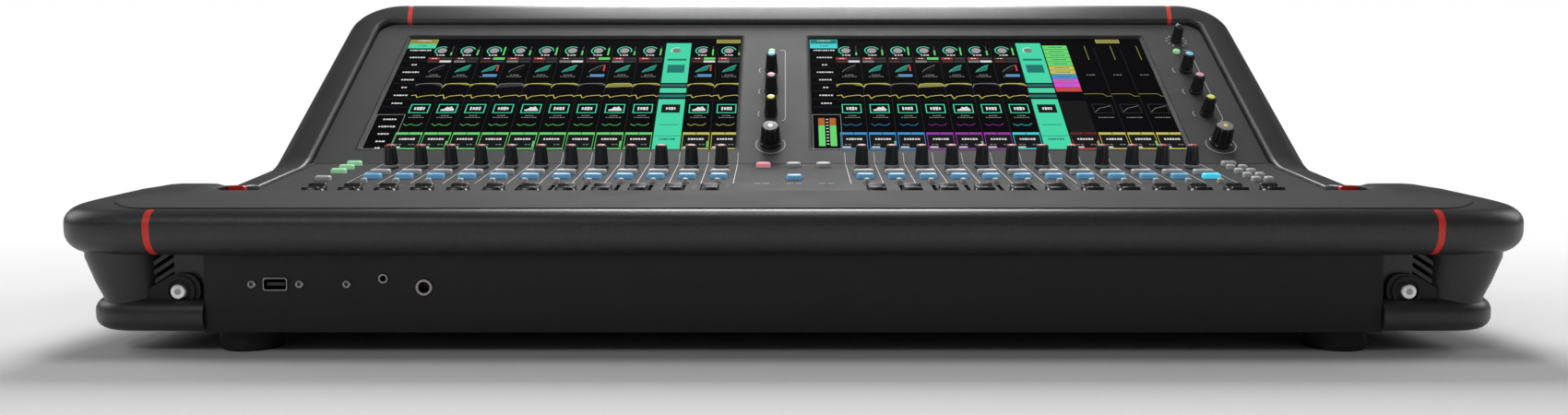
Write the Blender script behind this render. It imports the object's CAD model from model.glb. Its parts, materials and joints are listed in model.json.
"""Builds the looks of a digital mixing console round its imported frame."""

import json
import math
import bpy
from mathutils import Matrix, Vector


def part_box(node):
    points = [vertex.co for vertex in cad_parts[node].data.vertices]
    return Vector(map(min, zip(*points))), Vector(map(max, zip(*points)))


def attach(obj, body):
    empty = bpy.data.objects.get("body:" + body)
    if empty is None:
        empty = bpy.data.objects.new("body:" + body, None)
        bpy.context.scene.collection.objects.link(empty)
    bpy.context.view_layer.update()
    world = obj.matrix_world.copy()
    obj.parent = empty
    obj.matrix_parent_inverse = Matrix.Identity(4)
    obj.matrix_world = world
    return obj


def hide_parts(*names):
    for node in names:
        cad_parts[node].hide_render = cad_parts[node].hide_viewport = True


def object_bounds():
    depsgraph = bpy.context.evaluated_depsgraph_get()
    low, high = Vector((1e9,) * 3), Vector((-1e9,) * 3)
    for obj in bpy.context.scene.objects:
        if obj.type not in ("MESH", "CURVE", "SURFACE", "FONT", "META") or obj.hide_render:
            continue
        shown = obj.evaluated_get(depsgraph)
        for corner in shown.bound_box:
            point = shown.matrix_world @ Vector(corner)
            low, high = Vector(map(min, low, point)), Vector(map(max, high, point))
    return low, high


bl_info = {
    "name": "Mixing console",
    "version": (1, 0, 0),
    "blender": (4, 5, 0),
    "location": "View3D > Sidebar > Console",
    "description": "Tubes, panels, screens, knobs, keys and faders of a mixing console",
    "category": "Object",
}

import bmesh
import bpy
from bpy.props import FloatProperty, FloatVectorProperty, IntProperty, PointerProperty
from mathutils import Matrix, Vector

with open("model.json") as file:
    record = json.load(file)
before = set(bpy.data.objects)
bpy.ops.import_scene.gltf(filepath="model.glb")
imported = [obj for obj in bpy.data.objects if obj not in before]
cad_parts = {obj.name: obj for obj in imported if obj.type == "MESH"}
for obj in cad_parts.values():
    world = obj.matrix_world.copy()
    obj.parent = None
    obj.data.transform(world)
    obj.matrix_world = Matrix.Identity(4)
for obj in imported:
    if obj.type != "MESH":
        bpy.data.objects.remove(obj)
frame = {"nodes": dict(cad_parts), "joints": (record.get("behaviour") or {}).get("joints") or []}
cad_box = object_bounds()
BOX_LOW, BOX_HIGH = (Vector(corner) for corner in cad_box)
MM = 0.001
BODY = "console"
FACE_BACK = 0.0135
PANEL_HALF = 0.363
SOCKET_RISE = 0.030
GLASS_H = -0.00230
KEYS_END = -0.0925
CORNER_POWER = 3.2
TO_FRONT = Matrix.Rotation(math.pi / 2, 4, "X")
TO_BACK = Matrix.Rotation(-math.pi / 2, 4, "X")


def length(name, default, about):
    """A size in metres that a user can change."""
    return FloatProperty(name=name, description=about, default=default, unit="LENGTH", precision=5)


def colour(name, default, about):
    """A colour that a user can change."""
    return FloatVectorProperty(
        name=name, description=about, default=default, size=3, min=0, max=1, subtype="COLOR"
    )


def turn(name, degrees, about):
    """An angle that a user can change."""
    return FloatProperty(
        name=name, description=about, default=math.radians(degrees), subtype="ANGLE"
    )


class DeskSizes(bpy.types.PropertyGroup):
    """The sizes that the pieces are made from."""

    fold_y: length("Fold Y", BOX_LOW.y + 0.3335, "Where the two control panels meet")
    fold_z: length("Fold height", 0.107, "Height of the line where the panels meet")
    fader_tilt: turn("Fader tilt", 8, "Tilt of the fader panel")
    screen_tilt: turn("Screen tilt", 35.7, "Tilt of the screen panel")
    half_w: length("Half width", BOX_HIGH.x, "From the middle to a side tube's outer face")
    front_y: length("Front", BOX_LOW.y, "Foremost line of the front rail")
    rear_y: length("Rear", BOX_HIGH.y, "Face of the rear panel")
    tube_w: length("Tube width", 0.034, "Width of the side tubes")
    tube_t: length("Tube thickness", 0.034, "Thickness of the tubes")
    tube_r: length("Tube radius", 0.0165, "Radius on the outer edges of the tubes")
    proud: length("Tube height", 0.005, "How far the tubes stand over the screen panel")
    rail_w: length("Top rail", 0.042, "Width of the top rail up the slope")
    rail_d: length("Front rail", 0.095, "Depth of the front rail")
    rail_top: length("Rail front height", 0.090, "Height of the armrest at the front")
    arm_z: length("Armrest height", 0.097, "Height of the armrest at the back")
    rail_low: length("Rail underside", 0.062, "Height of the front rail's underside")
    corner_r: length("Corner radius", 0.060, "Radius of the front corners")
    corner_len: length("Corner length", 0.110, "Length of a corner casting")
    band_x: length("Front band", 0.393, "Outer face of a front band")
    band_w: length("Band width", 0.0045, "Width of a coloured band")
    panel_len: length("Screen panel", 0.237, "Length of the screen panel up the slope")
    foot_h: length("Foot height", 0.014, "Height of the chassis over the table")
    bumper_h: length("Bumper height", 0.020, "Height of the lower bumper")
    pitch: length("Strip pitch", 0.0261, "Distance between channel strips")
    strips: IntProperty(name="Strips", description="Strips in a bank", default=12)
    left_bank: length("Left bank", -0.3602, "Left edge of the left bank")
    right_bank: length("Right bank", 0.0485, "Left edge of the right bank")
    screen_w: length("Screen width", 0.3445, "Width of a screen window")
    screen_h: length("Screen height", 0.194, "Height of a screen window")
    screen_up: length("Screen base", 0.021, "From the fold to a screen")
    key_h: length("Key height", 0.0036, "How far a key stands over its panel")
    fader_s: length("Fader place", 0.188, "From the fold to the fader caps at rest")


class DeskColours(bpy.types.PropertyGroup):
    """The colours of the finishes."""

    frame: colour("Frame", (0.030, 0.030, 0.031), "Tubes and castings")
    panel: colour("Panels", (0.078, 0.078, 0.080), "The control panels")
    pad: colour("Armrest", (0.034, 0.034, 0.035), "The armrest pad")
    chassis: colour("Chassis", (0.0065, 0.0065, 0.007), "The front and rear panels")
    band: colour("Bands", (0.72, 0.030, 0.018), "The rings between the frame's pieces")
    knob: colour("Knobs", (0.018, 0.018, 0.019), "Knobs and fader caps")
    ink: colour("Ink", (0.58, 0.58, 0.58), "Printed lines")
    teal: colour("Teal", (0.10, 0.85, 0.58), "The screens' main colour")


def sizes():
    """The sizes in use."""
    return bpy.context.scene.desk_sizes


def colours():
    """The colours in use."""
    return bpy.context.scene.desk_colours


# Places on the desk


def on_fader(x=0.0, s=0.0, h=0.0):
    """A place on the fader panel: across, distance from the fold and height."""
    z = sizes()
    turned = Matrix.Rotation(z.fader_tilt, 4, "X") @ Matrix.Translation((x, -s, h))
    return Matrix.Translation((0, z.fold_y, z.fold_z)) @ turned


def on_screen(x=0.0, s=0.0, h=0.0):
    """A place on the screen panel: across, distance up from the fold and height."""
    z = sizes()
    turned = Matrix.Rotation(z.screen_tilt, 4, "X") @ Matrix.Translation((x, s, h))
    return Matrix.Translation((0, z.fold_y, z.fold_z)) @ turned


def strip_places():
    """The middle of every channel strip."""
    z = sizes()
    banks = (z.left_bank, z.right_bank)
    return [bank + (i + 0.5) * z.pitch for bank in banks for i in range(z.strips)]


def knob_places():
    """Each loose knob's node, with its place along X."""
    nodes = [f"{side}_knob_{size}" for side in ("centre", "right") for size in ("1", "2", "3", "large")]
    return {node: spot_on_screen(node)[0] for node in nodes + ["phones_knob"]}


def spot_on_screen(node):
    """Where a CAD node on the screen panel stands: across and up the slope."""
    z = sizes()
    low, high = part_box(node)
    middle = (low + high) / 2
    up = Vector((0, math.cos(z.screen_tilt), math.sin(z.screen_tilt)))
    return middle.x, (middle - Vector((0, z.fold_y, z.fold_z))).dot(up)


# Shader expressions


class Field:
    """A node's output that Python's operators work on."""

    def __init__(self, finish, socket):
        self.finish, self.socket = finish, socket

    def math(self, operation, *values):
        """A Math node that starts from this value."""
        node = self.finish.add("ShaderNodeMath", {"operation": operation}, self, *values)
        return node[0]

    def __add__(self, other):
        return self.math("ADD", other)

    __radd__ = __add__

    def __mul__(self, other):
        return self.math("MULTIPLY", other)

    __rmul__ = __mul__

    def __sub__(self, other):
        return self.math("SUBTRACT", other)

    def __rsub__(self, other):
        return (self * -1.0) + other

    def __gt__(self, other):
        return self.math("GREATER_THAN", other)


class Finish:
    """A material in the making."""

    def __init__(self, name):
        self.material = bpy.data.materials.new(name)
        self.material.use_nodes = True
        self.tree = self.material.node_tree
        self.shader = self.tree.nodes["Principled BSDF"]
        self.place = self.add("ShaderNodeTexCoord", {})["Object"]

    def add(self, kind, settings, *values, **named):
        """Any node: its settings first, then its inputs by order and by name."""
        node = self.tree.nodes.new(kind)
        for key, value in settings.items():
            if key == "stops":
                for stop, (at, tint) in zip(node.color_ramp.elements, value):
                    stop.position, stop.color = at, tint
            else:
                setattr(node, key, value)
        self.feed(node, dict(enumerate(values)))
        self.feed(node, {key.replace("_", " "): value for key, value in named.items()})
        return Outputs(self, node)

    def feed(self, node, inputs):
        """Sets or links a node's inputs."""
        for key, value in inputs.items():
            if value is None:
                continue
            if isinstance(value, Field):
                self.tree.links.new(value.socket, node.inputs[key])
            else:
                node.inputs[key].default_value = value

    def noise(self, scale, detail=2.0, roughness=0.5):
        """Noise over the piece, from 0 to 1."""
        node = self.add(
            "ShaderNodeTexNoise", {}, Vector=self.place, Scale=scale, Detail=detail, Roughness=roughness
        )
        return node["Fac"]

    def cells(self, scale):
        """A random value for each small cell."""
        node = self.add("ShaderNodeTexVoronoi", {}, Vector=self.place, Scale=scale)
        split = self.add("ShaderNodeSeparateColor", {}, node["Color"])
        return split[0]

    def blend(self, amount, low, high):
        """A colour between two."""
        node = self.add("ShaderNodeMix", {"data_type": "RGBA"})
        self.feed(node.node, {0: amount, 6: low, 7: high})
        return node[2]

    def bump(self, height, strength, distance):
        """Feeds the shader's normal from a height."""
        node = self.add("ShaderNodeBump", {}, Height=height, Strength=strength, Distance=distance)
        self.set(Normal=node["Normal"])

    def set(self, **named):
        """Sets or links the shader's own inputs."""
        self.feed(self.shader, {key.replace("_", " "): value for key, value in named.items()})
        return self


class Outputs:
    """A node's outputs by name or place, as fields."""

    def __init__(self, finish, node):
        self.finish, self.node = finish, node

    def __getitem__(self, key):
        return Field(self.finish, self.node.outputs[key])


def rgba(tint, factor=1.0):
    """A colour with alpha, made lighter or darker."""
    return tuple(min(1.0, c * factor) for c in tint) + (1.0,)


def coated_metal(name, tint, rough, sparkle, grain=900.0, gloss=0.5):
    """Powder coat: fine grain, a scatter of lighter flecks and a little unevenness."""
    finish = Finish(name)
    fleck = finish.cells(grain * 1.6) > 0.86
    cloud = finish.noise(7.0, 3.0)
    base = finish.blend(cloud, rgba(tint, 0.88), rgba(tint, 1.12))
    finish.set(Base_Color=finish.blend(fleck * sparkle, base, rgba(tint, 3.2)))
    finish.set(Roughness=finish.noise(60.0) * 0.14 + (rough - 0.07), Metallic=0.15)
    finish.set(Specular_IOR_Level=gloss)
    finish.bump(finish.noise(grain, 2.0), 0.22, 0.00035)
    return finish.material


def moulded_plastic(name, tint, rough, grain=1400.0, strength=0.12):
    """Moulded plastic: a spark-eroded grain and slight shine changes."""
    finish = Finish(name)
    cloud = finish.noise(40.0, 3.0)
    finish.set(Base_Color=finish.blend(cloud, rgba(tint, 0.85), rgba(tint, 1.2)))
    finish.set(Roughness=finish.noise(180.0) * 0.16 + (rough - 0.08))
    finish.bump(finish.noise(grain, 2.0), strength, 0.0002)
    return finish.material


def soft_pad(name, tint):
    """The armrest: a matt, close-grained cover."""
    finish = Finish(name)
    pores = finish.cells(1900.0)
    finish.set(Base_Color=finish.blend(pores, rgba(tint, 0.9), rgba(tint, 1.12)))
    finish.set(Roughness=finish.noise(25.0) * 0.12 + 0.72, Specular_IOR_Level=0.2)
    finish.bump(pores, 0.25, 0.0002)
    return finish.material


def lit_plastic(name, tint, strength, rough=0.35):
    """A translucent cap with a lamp under it, brighter in the middle of the moulding."""
    finish = Finish(name)
    cloud = finish.noise(320.0, 2.0)
    finish.set(Base_Color=finish.blend(cloud, rgba(tint, 0.9), rgba(tint, 1.05)))
    finish.set(Emission_Color=finish.blend(cloud, rgba(tint, 0.85), rgba(tint, 1.1)))
    finish.set(Emission_Strength=strength)
    finish.set(Roughness=finish.noise(200.0) * 0.1 + rough)
    return finish.material


def display(name, tint):
    """A lit part of a display: fine rows of dots under gloss."""
    finish = Finish(name)
    row = finish.cells(2600.0)
    finish.set(Base_Color=(0.0, 0.0, 0.0, 1.0))
    finish.set(Emission_Color=finish.blend(row, rgba(tint, 0.86), rgba(tint, 1.0)))
    finish.set(Emission_Strength=1.0, Roughness=0.12, Specular_IOR_Level=0.03)
    return finish.material


def bare_metal(name, tint, rough):
    """Turned or plated metal with fine scratches."""
    finish = Finish(name)
    scratch = finish.noise(700.0, 4.0, 0.7)
    finish.set(Base_Color=finish.blend(scratch, rgba(tint, 0.85), rgba(tint, 1.08)))
    finish.set(Roughness=scratch * 0.2 + (rough - 0.1), Metallic=1.0)
    finish.bump(scratch, 0.08, 0.0001)
    return finish.material


def circuit_board(name):
    """Green solder mask with copper-toned tracks."""
    finish = Finish(name)
    split = finish.add("ShaderNodeSeparateXYZ", {}, finish.place)
    lane = (split[0] * 240.0).math("FRACT")
    tracks = (lane > 0.62) * (finish.noise(90.0) > 0.5)
    finish.set(Base_Color=finish.blend(tracks, (0.006, 0.07, 0.03, 1), (0.05, 0.20, 0.07, 1)))
    finish.set(Roughness=finish.noise(300.0) * 0.2 + 0.3)
    return finish.material


def glass_black(name):
    """The displays' dark glass, with faint smears in its gloss."""
    finish = Finish(name)
    smear = finish.noise(14.0, 4.0)
    finish.set(Base_Color=finish.blend(smear, (0.004, 0.004, 0.005, 1), (0.007, 0.007, 0.008, 1)))
    finish.set(Roughness=smear * 0.08 + 0.06, Specular_IOR_Level=0.03)
    return finish.material


FINISHES = {}


def finish(name):
    """A finish by name, made once."""
    if name not in FINISHES:
        FINISHES[name] = make_finish(name)
    return FINISHES[name]


def make_finish(name):
    """The recipe for each finish."""
    c = colours()
    dimmed = tuple(v * 0.6 for v in c.panel)
    recipes = {
        "frame": (coated_metal, "frame_coat", c.frame, 0.40, 0.16),
        "panel": (coated_metal, "panel_coat", c.panel, 0.55, 0.08, 1300.0, 0.25),
        "fader_panel": (coated_metal, "fader_coat", dimmed, 0.7, 0.08, 1300.0, 0.15),
        "chassis": (coated_metal, "chassis_coat", c.chassis, 0.6, 0.06, 1500.0),
        "pad": (soft_pad, "pad_cover", c.pad),
        "band": (moulded_plastic, "band_plastic", c.band, 0.38),
        "knob": (moulded_plastic, "knob_plastic", c.knob, 0.24, 1400.0, 0.05),
        "cap": (moulded_plastic, "cap_plastic", c.knob, 0.26),
        "skirt": (moulded_plastic, "skirt_plastic", (0.42, 0.42, 0.43), 0.35),
        "ink": (moulded_plastic, "print_ink", c.ink, 0.5),
        "rubber": (moulded_plastic, "foot_rubber", (0.014, 0.014, 0.014), 0.75, 500.0, 0.4),
        "steel": (bare_metal, "zinc_steel", (0.62, 0.62, 0.63), 0.3),
        "bolt": (bare_metal, "bolt_steel", (0.86, 0.86, 0.85), 0.34),
        "socket": (bare_metal, "socket_nickel", (0.34, 0.32, 0.32), 0.34),
        "gold": (bare_metal, "contact_gold", (0.85, 0.6, 0.2), 0.25),
        "socket_black": (moulded_plastic, "socket_plastic", (0.012, 0.012, 0.012), 0.4),
        "board": (circuit_board, "circuit_board"),
        "glass": (glass_black, "display_glass"),
        "key_white": (lit_plastic, "key_white", (0.50, 0.50, 0.51), 0.04),
        "key_blue": (lit_plastic, "key_blue", (0.13, 0.40, 0.66), 0.30),
        "key_cyan": (lit_plastic, "key_cyan", (0.06, 0.62, 0.85), 0.65),
        "key_green": (lit_plastic, "key_green", (0.34, 0.70, 0.38), 0.34),
        "key_red": (lit_plastic, "key_red", (0.90, 0.30, 0.36), 0.4),
        "lamp_red": (lit_plastic, "lamp_red", (0.40, 0.07, 0.09), 0.30),
        "lamp_pink": (lit_plastic, "lamp_pink", (0.62, 0.30, 0.38), 0.4),
        "lamp_blue": (lit_plastic, "lamp_blue", (0.14, 0.50, 0.66), 0.5),
        "lamp_yellow": (lit_plastic, "lamp_yellow", (0.60, 0.55, 0.10), 0.5),
        "lamp_white": (lit_plastic, "lamp_white", (0.9, 0.9, 0.88), 1.2),
        "lamp_grey": (lit_plastic, "lamp_grey", (0.30, 0.30, 0.31), 0.02),
    }
    if name in SCREEN_TINTS:
        return display("display_" + name, SCREEN_TINTS[name])
    maker, *values = recipes[name]
    return maker(*values)


SCREEN_TINTS = {
    "green": (0.16, 0.72, 0.18),
    "teal": (0.07, 0.72, 0.42),
    "dark_teal": (0.02, 0.20, 0.17),
    "cyan": (0.07, 0.70, 0.70),
    "olive": (0.27, 0.27, 0.07),
    "yellow": (0.60, 0.56, 0.12),
    "blue": (0.06, 0.32, 0.70),
    "purple": (0.33, 0.05, 0.42),
    "magenta": (0.75, 0.10, 0.70),
    "red": (0.70, 0.06, 0.06),
    "orange": (0.50, 0.14, 0.03),
    "white": (0.78, 0.78, 0.78),
    "grey": (0.22, 0.22, 0.22),
    "dim": (0.045, 0.045, 0.047),
    "pale": (0.36, 0.36, 0.37),
    "brick": (0.36, 0.05, 0.05),
    "brown": (0.09, 0.035, 0.03),
    "tile": (0.012, 0.012, 0.013),
}


# Mesh tools


def arc_corner(points, i, steps):
    """One corner of an outline as an arc. A point is (x, y, radius)."""
    before, at, after = (Vector(points[(i + k) % len(points)][:2]) for k in (-1, 0, 1))
    radius = points[i][2]
    if radius <= 0:
        return [at]
    u, w = (before - at).normalized(), (after - at).normalized()
    half = math.acos(max(-1, min(1, u.dot(w)))) / 2
    start, finish_at = at + u * radius / math.tan(half), at + w * radius / math.tan(half)
    centre = at + (u + w).normalized() * radius / math.sin(half)
    a, b = start - centre, finish_at - centre
    sweep_angle = math.atan2(a.x * b.y - a.y * b.x, a.dot(b))
    turned = (Matrix.Rotation(sweep_angle * k / steps, 2) for k in range(steps + 1))
    return [centre + m @ a for m in turned]


def rounded(points, steps=6):
    """An outline with each corner turned into an arc."""
    return [p for i in range(len(points)) for p in arc_corner(points, i, steps)]


def sweep(bm, rings, caps=True):
    """A skin over a row of rings, each with the same number of points: the first is extruded on."""
    first = [bm.verts.new(p) for p in rings[0]]
    count = len(first)
    edges = [bm.edges.new((first[i], first[(i + 1) % count])) for i in range(count)]
    start, current, faces = list(edges), first, []
    for ring in rings[1:]:
        made = bmesh.ops.extrude_edge_only(bm, edges=edges)["geom"]
        fresh = {v for v in made if isinstance(v, bmesh.types.BMVert)}
        faces += [f for f in made if isinstance(f, bmesh.types.BMFace)]
        following = []
        for vert, place in zip(current, ring):
            new = next(e.other_vert(vert) for e in vert.link_edges if e.other_vert(vert) in fresh)
            new.co = place
            following.append(new)
        edges = [e for e in made if isinstance(e, bmesh.types.BMEdge) and set(e.verts) <= fresh]
        current = following
    if caps:
        faces += bmesh.ops.contextual_create(bm, geom=start)["faces"]
        faces += bmesh.ops.contextual_create(bm, geom=edges)["faces"]
    return faces


def tint_faces(faces, index):
    """Gives faces a material by its place on the piece."""
    for face in faces:
        face.material_index = index
    return faces


def raised(place, outline, h):
    """An outline in X and Y at a height over a place."""
    return [place @ Vector((p[0], p[1], h)) for p in outline]


def at(x, y, z, facing):
    """A place on the desk, turned to face one way."""
    return Matrix.Translation((x, y, z)) @ facing


def shifted(place, x, y=0.0):
    """A place moved in its own plane."""
    return place @ Matrix.Translation((x, y, 0))


def outline_solid(bm, outline, low, high, matrix, index=0):
    """An outline in X and Y given thickness along Z, then put in its place."""
    return tint_faces(sweep(bm, [raised(matrix, outline, h) for h in (low, high)]), index)


def box_outline(w, l, r=0.0, x=0.0, y=0.0):
    """A rectangle with round corners, as an outline."""
    sides = ((-1, -1), (1, -1), (1, 1), (-1, 1))
    return rounded([(x + a * w / 2, y + b * l / 2, r) for a, b in sides], 3)


def plate(bm, matrix, w, l, low, high, r=0.0, index=0):
    """A plate with round corners."""
    return outline_solid(bm, box_outline(w, l, r), low, high, matrix, index)


def turned(bm, matrix, profile, segments=24, index=0, flutes=0, depth=0.0):
    """A round piece from (radius, height) pairs, with flutes if wanted."""
    rings = []
    for radius, height in profile:
        ring = []
        for k in range(segments):
            a = 2 * math.pi * k / segments
            wave = 0.5 - 0.5 * math.cos(flutes * a) if flutes else 0.0
            r = radius * (1 - depth * wave)
            ring.append(matrix @ Vector((r * math.cos(a), r * math.sin(a), height)))
        rings.append(ring)
    return tint_faces(sweep(bm, rings), index)


def flat_line(bm, matrix, points, width, rise, index=0):
    """A printed line along points on a panel, standing a hair over it."""
    for a, b in zip(points, points[1:]):
        a, b = Vector(a), Vector(b)
        side = Vector((a.y - b.y, b.x - a.x)).normalized() * width / 2
        along = (b - a).normalized() * width / 3
        corners = [a - along - side, b + along - side, b + along + side, a - along + side]
        outline_solid(bm, corners, 0.0, rise, matrix, index)


def arc(cx, cy, r, start, end, steps=12):
    """Points along a circle, in degrees."""
    angles = (math.radians(start + (end - start) * k / steps) for k in range(steps + 1))
    return [(cx + r * math.cos(a), cy + r * math.sin(a)) for a in angles]


def mirrored(bm):
    """Adds the other side of the desk."""
    bmesh.ops.mirror(bm, geom=bm.verts[:] + bm.edges[:] + bm.faces[:], axis="X", merge_dist=-1)


def piece(name, bm, materials, body=BODY, replaces=(), angle=35.0):
    """Ends a piece: welds it, turns its faces out, and ties it to its body."""
    bmesh.ops.remove_doubles(bm, verts=bm.verts, dist=1e-7)
    bmesh.ops.recalc_face_normals(bm, faces=bm.faces)
    mesh = bpy.data.meshes.new(name)
    bm.to_mesh(mesh)
    bm.free()
    for material in materials:
        mesh.materials.append(finish(material))
    mesh.shade_smooth()
    mesh.set_sharp_from_angle(angle=math.radians(angle))
    obj = bpy.data.objects.new(name, mesh)
    bpy.context.scene.collection.objects.link(obj)
    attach(obj, body)
    if replaces:
        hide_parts(*replaces)
    return obj


def dress(node, material):
    """Gives a CAD node that stays in view its finish."""
    obj = frame["nodes"][node]
    obj.data.materials.clear()
    obj.data.materials.append(finish(material))


# Frame


def arm_height(y):
    """Height of the sloping armrest and castings at a depth."""
    z = sizes()
    return z.rail_top + (z.arm_z - z.rail_top) * min(1.1, (y - z.front_y) / z.rail_d)


def front_section(x, inset=0.0):
    """Section of the front rail at a place along X."""
    z = sizes()
    front, back = z.front_y + inset, z.front_y + z.rail_d - inset
    low, top = z.rail_low + inset, z.rail_top - inset
    corners = [(front, low, 0.014), (front, top, 0.010), (back, z.arm_z - inset, 0.004), (back, low, 0.002)]
    return [Vector((x, p.x, p.y)) for p in rounded(corners, 8)]


def smooth(t):
    """Eases from 0 to 1."""
    t = max(0.0, min(1.0, t))
    return t * t * (3 - 2 * t)


def crown(x, y):
    """How far the castings swell over the armrest's slope."""
    across = smooth((abs(x) - 0.385) / 0.017) * smooth((0.452 - abs(x)) / 0.027)
    return 0.0034 * across * smooth((y - sizes().front_y - 0.050) / 0.050)


def slice_up(bm, xs, ys):
    """Cuts a piece into a grid, seen from above."""
    cuts = [((x, 0, 0), (1, 0, 0)) for x in xs] + [((0, y, 0), (0, 1, 0)) for y in ys]
    for place, facing in cuts:
        geometry = bm.verts[:] + bm.edges[:] + bm.faces[:]
        bmesh.ops.bisect_plane(bm, geom=geometry, dist=1e-6, plane_co=place, plane_no=facing)


def casting_ring(inward, height_low, rise):
    """Plan of a corner casting, moved in from its outer edges; rise is 0 at its base and 1 on top."""
    z = sizes()
    inner_x, back_y = z.band_x, z.front_y + z.corner_len
    centre = Vector((inner_x, z.front_y + z.corner_r))
    half_x, half_y = z.half_w - inner_x - inward, z.corner_r - inward
    outline = []
    for k in range(19):
        a = math.pi / 2 * k / 18
        u, v = math.sin(a) ** (2 / CORNER_POWER), math.cos(a) ** (2 / CORNER_POWER)
        outline.append(centre + Vector((half_x * u, -half_y * v)))
    outline += [Vector((z.half_w - inward, back_y)), Vector((inner_x, back_y))]
    outline += [Vector((inner_x, z.front_y + z.rail_d * 0.6))]
    return [
        Vector((p.x, p.y, height_low + rise * (arm_height(p.y) - z.rail_top)))
        for p in outline
    ]


def side_stations(inset=0.0):
    """Sections of a side tube, from the front casting, round the bend, up the slope to the top corner."""
    z = sizes()
    start = z.front_y + z.corner_len + z.band_w
    slope, tilt = z.screen_tilt, z.fader_tilt
    n = Vector((0, -math.sin(slope), math.cos(slope)))
    d = Vector((0, math.cos(slope), math.sin(slope)))
    fold = Vector((0, z.fold_y, z.fold_z))
    wall = z.half_w - z.tube_w
    right, level = Vector((1, 0, 0)), Vector((0, 0, 1))
    swell, reach = 0.0026, 0.017
    over = 0.0012 - swell
    rings = []

    def section(top, up, across, inner, outer, r_in=0.004, raised=0.0, deep=z.tube_t):
        corners = [
            (inner + inset, inset - deep, 0.002), (inner + inset, raised - inset, r_in),
            (outer - inset, -inset, z.tube_r), (outer - inset, inset - deep, z.tube_r),
        ]
        return [top + across * p.x + up * p.y for p in rounded(corners, 8)]

    rise = z.proud / math.cos(slope) - over / math.cos(tilt)
    meet_y = -rise / (math.tan(slope) - math.tan(tilt))
    meet = Vector((0, z.fold_y + meet_y, z.fold_z + over + meet_y * math.tan(tilt)))
    before, up = Vector((0, math.cos(tilt), math.sin(tilt))), Vector((0, -math.sin(tilt), math.cos(tilt)))
    bend = meet - before * reach
    for k in range(27):
        y = start + (bend.y - start) * k / 26
        ease = smooth((y - start - 0.012) / 0.085)
        inner = z.band_x - 0.012 + (wall - z.band_x + 0.012) * ease
        front = z.rail_low + 0.0265 + 0.0085 * (1 - smooth((y - start - 0.006) / 0.075))
        top = max(front, bend.z + (y - bend.y) * math.tan(tilt))
        place = Vector((0, y, top))
        rings.append(section(place, level, right, inner, z.half_w, 0.0018, swell, top - z.rail_low))
    radius = reach / math.tan((slope - tilt) / 2)
    centre = bend + up * radius
    for k in range(1, 11):
        a = tilt + (slope - tilt) * k / 10
        up = Vector((0, -math.sin(a), math.cos(a)))
        deep = (bend.z - z.rail_low) * (1 - k / 10) + z.tube_t * k / 10
        place, r_in = centre - up * radius, 0.0018 + 0.00022 * k
        rings.append(section(place, up, right, wall, z.half_w, r_in, swell * (1 - k / 10), deep))
    end_s = z.panel_len + z.rail_w
    outer_r = z.tube_w + 0.016
    corner = fold + d * (end_s - outer_r) + n * z.proud
    rings.append(section(corner, n, right, wall, z.half_w))
    for k in range(1, 13):
        a = math.pi / 2 * k / 12
        across = right * math.cos(a) + d * math.sin(a)
        inner = outer_r - z.tube_w + (z.tube_w - z.rail_w) * k / 12
        rings.append(section(corner + right * (z.half_w - outer_r), n, across, inner, outer_r))
    end = top_band_x() + z.band_w
    rings.append([Vector((end + slant((p - fold).dot(d)), p.y, p.z)) for p in rings[-1]])
    return rings


def top_band_x():
    """Inner face of a top band, at the screen panel's edge."""
    z = sizes()
    return z.half_w - z.tube_w - 0.0312


def slant(s):
    """How far the top bands lean out at a distance up the slope."""
    z = sizes()
    return 0.0077 * (s - z.panel_len) / z.rail_w


def top_section(x, inset=0.0):
    """Section of the top rail."""
    z = sizes()
    low, end = z.panel_len + inset, z.panel_len + z.rail_w - inset
    base, top = z.proud - z.tube_t + inset, z.proud - inset
    corners = [(low, base, 0.002), (low, top, 0.004), (end, top, z.tube_r), (end, base, z.tube_r)]
    place, side = on_screen(), math.copysign(1, x)
    return [place @ Vector((x + side * slant(p.x), p.x, p.y)) for p in rounded(corners, 8)]


class DESK_OT_rails(bpy.types.Operator):
    """Makes the front rail and the top rail"""

    bl_idname = "desk.rails"
    bl_label = "Rails"

    def execute(self, context):
        z = sizes()
        bm = bmesh.new()
        reach = z.band_x - z.band_w
        sweep(bm, [front_section(x) for x in (-reach, reach)])
        piece("front_rail_tube", bm, ["frame"], replaces=["front_rail"])
        bm = bmesh.new()
        reach = top_band_x()
        sweep(bm, [top_section(x) for x in (-reach, reach)])
        piece("top_rail_tube", bm, ["frame"], replaces=["rear_rail"])
        return {"FINISHED"}


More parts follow.
